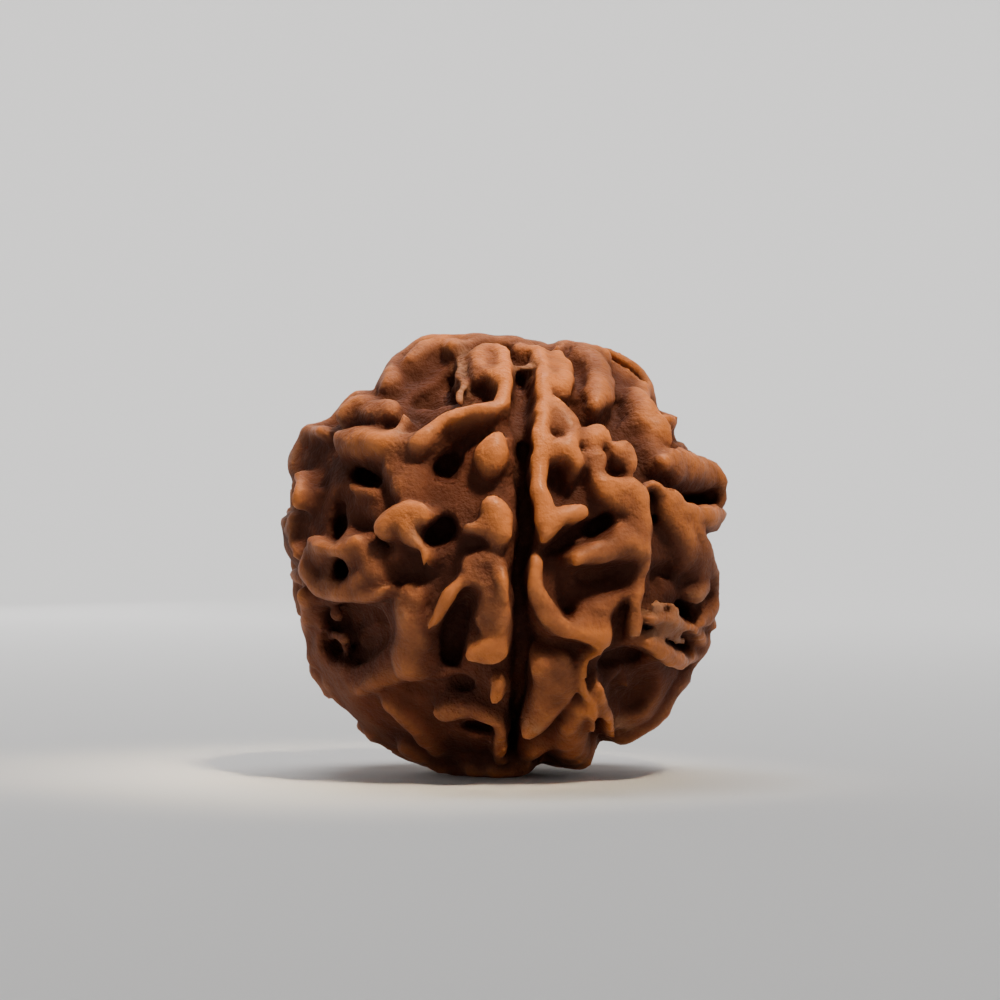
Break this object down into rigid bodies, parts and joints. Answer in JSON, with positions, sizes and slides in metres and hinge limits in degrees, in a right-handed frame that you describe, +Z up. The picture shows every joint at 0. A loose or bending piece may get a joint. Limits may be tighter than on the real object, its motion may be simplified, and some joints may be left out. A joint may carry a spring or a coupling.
{
  "type": "rudraksha seed",
  "caption": "Round rudraksha seed: one hard stone with deep meridian seams and branching raised ridges over its whole surface.",
  "frame": {"origin": "on the surface that the seed stands on, under the middle of the seed", "axes": "+Z up along the axis of the seed, from pole to pole; -Y towards the side seen from the front; +X to its right"},
  "size_m": [0.0295, 0.0299, 0.0291],
  "materials": {
    "stone": "satin reddish brown, lighter on the worn crests and nearly black in the pits"
  },
  "bodies": {
    "root": {"rudraksha_stone": "stone"}
  },
  "joints": []
}
